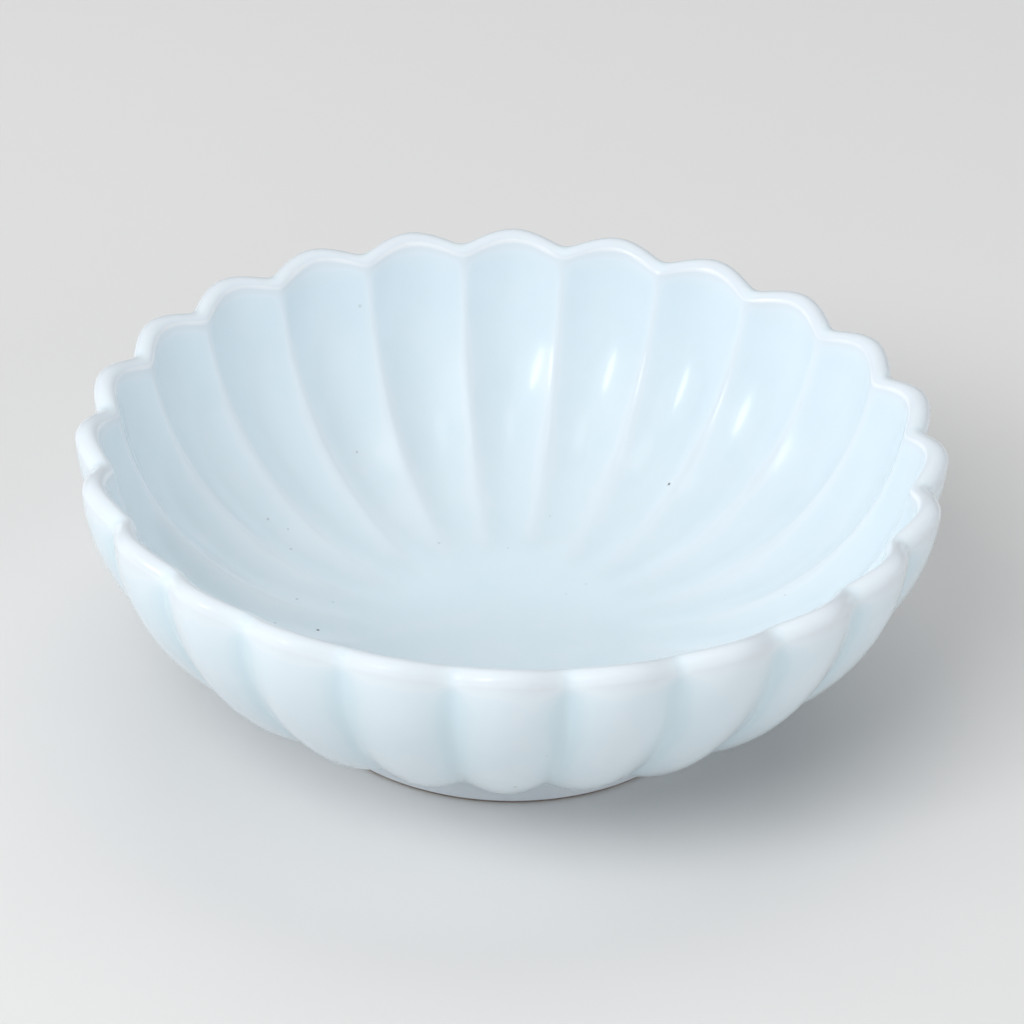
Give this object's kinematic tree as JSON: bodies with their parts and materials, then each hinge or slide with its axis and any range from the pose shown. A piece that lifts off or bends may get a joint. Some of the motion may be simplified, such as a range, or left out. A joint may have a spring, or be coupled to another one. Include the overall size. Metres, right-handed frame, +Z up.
{
  "type": "fluted porcelain bowl",
  "caption": "Small fluted porcelain bowl shaped like a chrysanthemum flower, with a wavy rounded lip, a smooth level floor and a plain foot ring, under a pale blue glaze.",
  "frame": {"origin": "on the resting plane, under the middle of the foot ring", "axes": "+Z up out of the bowl's mouth; +X and +Y each run through the middle of a petal"},
  "size_m": [0.126, 0.126, 0.0434],
  "materials": {
    "porcelain_body": "fired white porcelain, unglazed under the coat",
    "bare_foot": "bare porcelain wiped with an iron-brown wash, matt",
    "pale_blue_glaze": "glossy pale blue-white celadon glaze, whiter where it thins on the lip",
    "foot_well_glaze": "glossy pale blue-white celadon glaze"
  },
  "bodies": {
    "root": {"bowl_body": "porcelain_body", "foot_ring": "bare_foot", "glaze_coat": "pale_blue_glaze", "foot_well_glaze": "foot_well_glaze"}
  },
  "joints": []
}
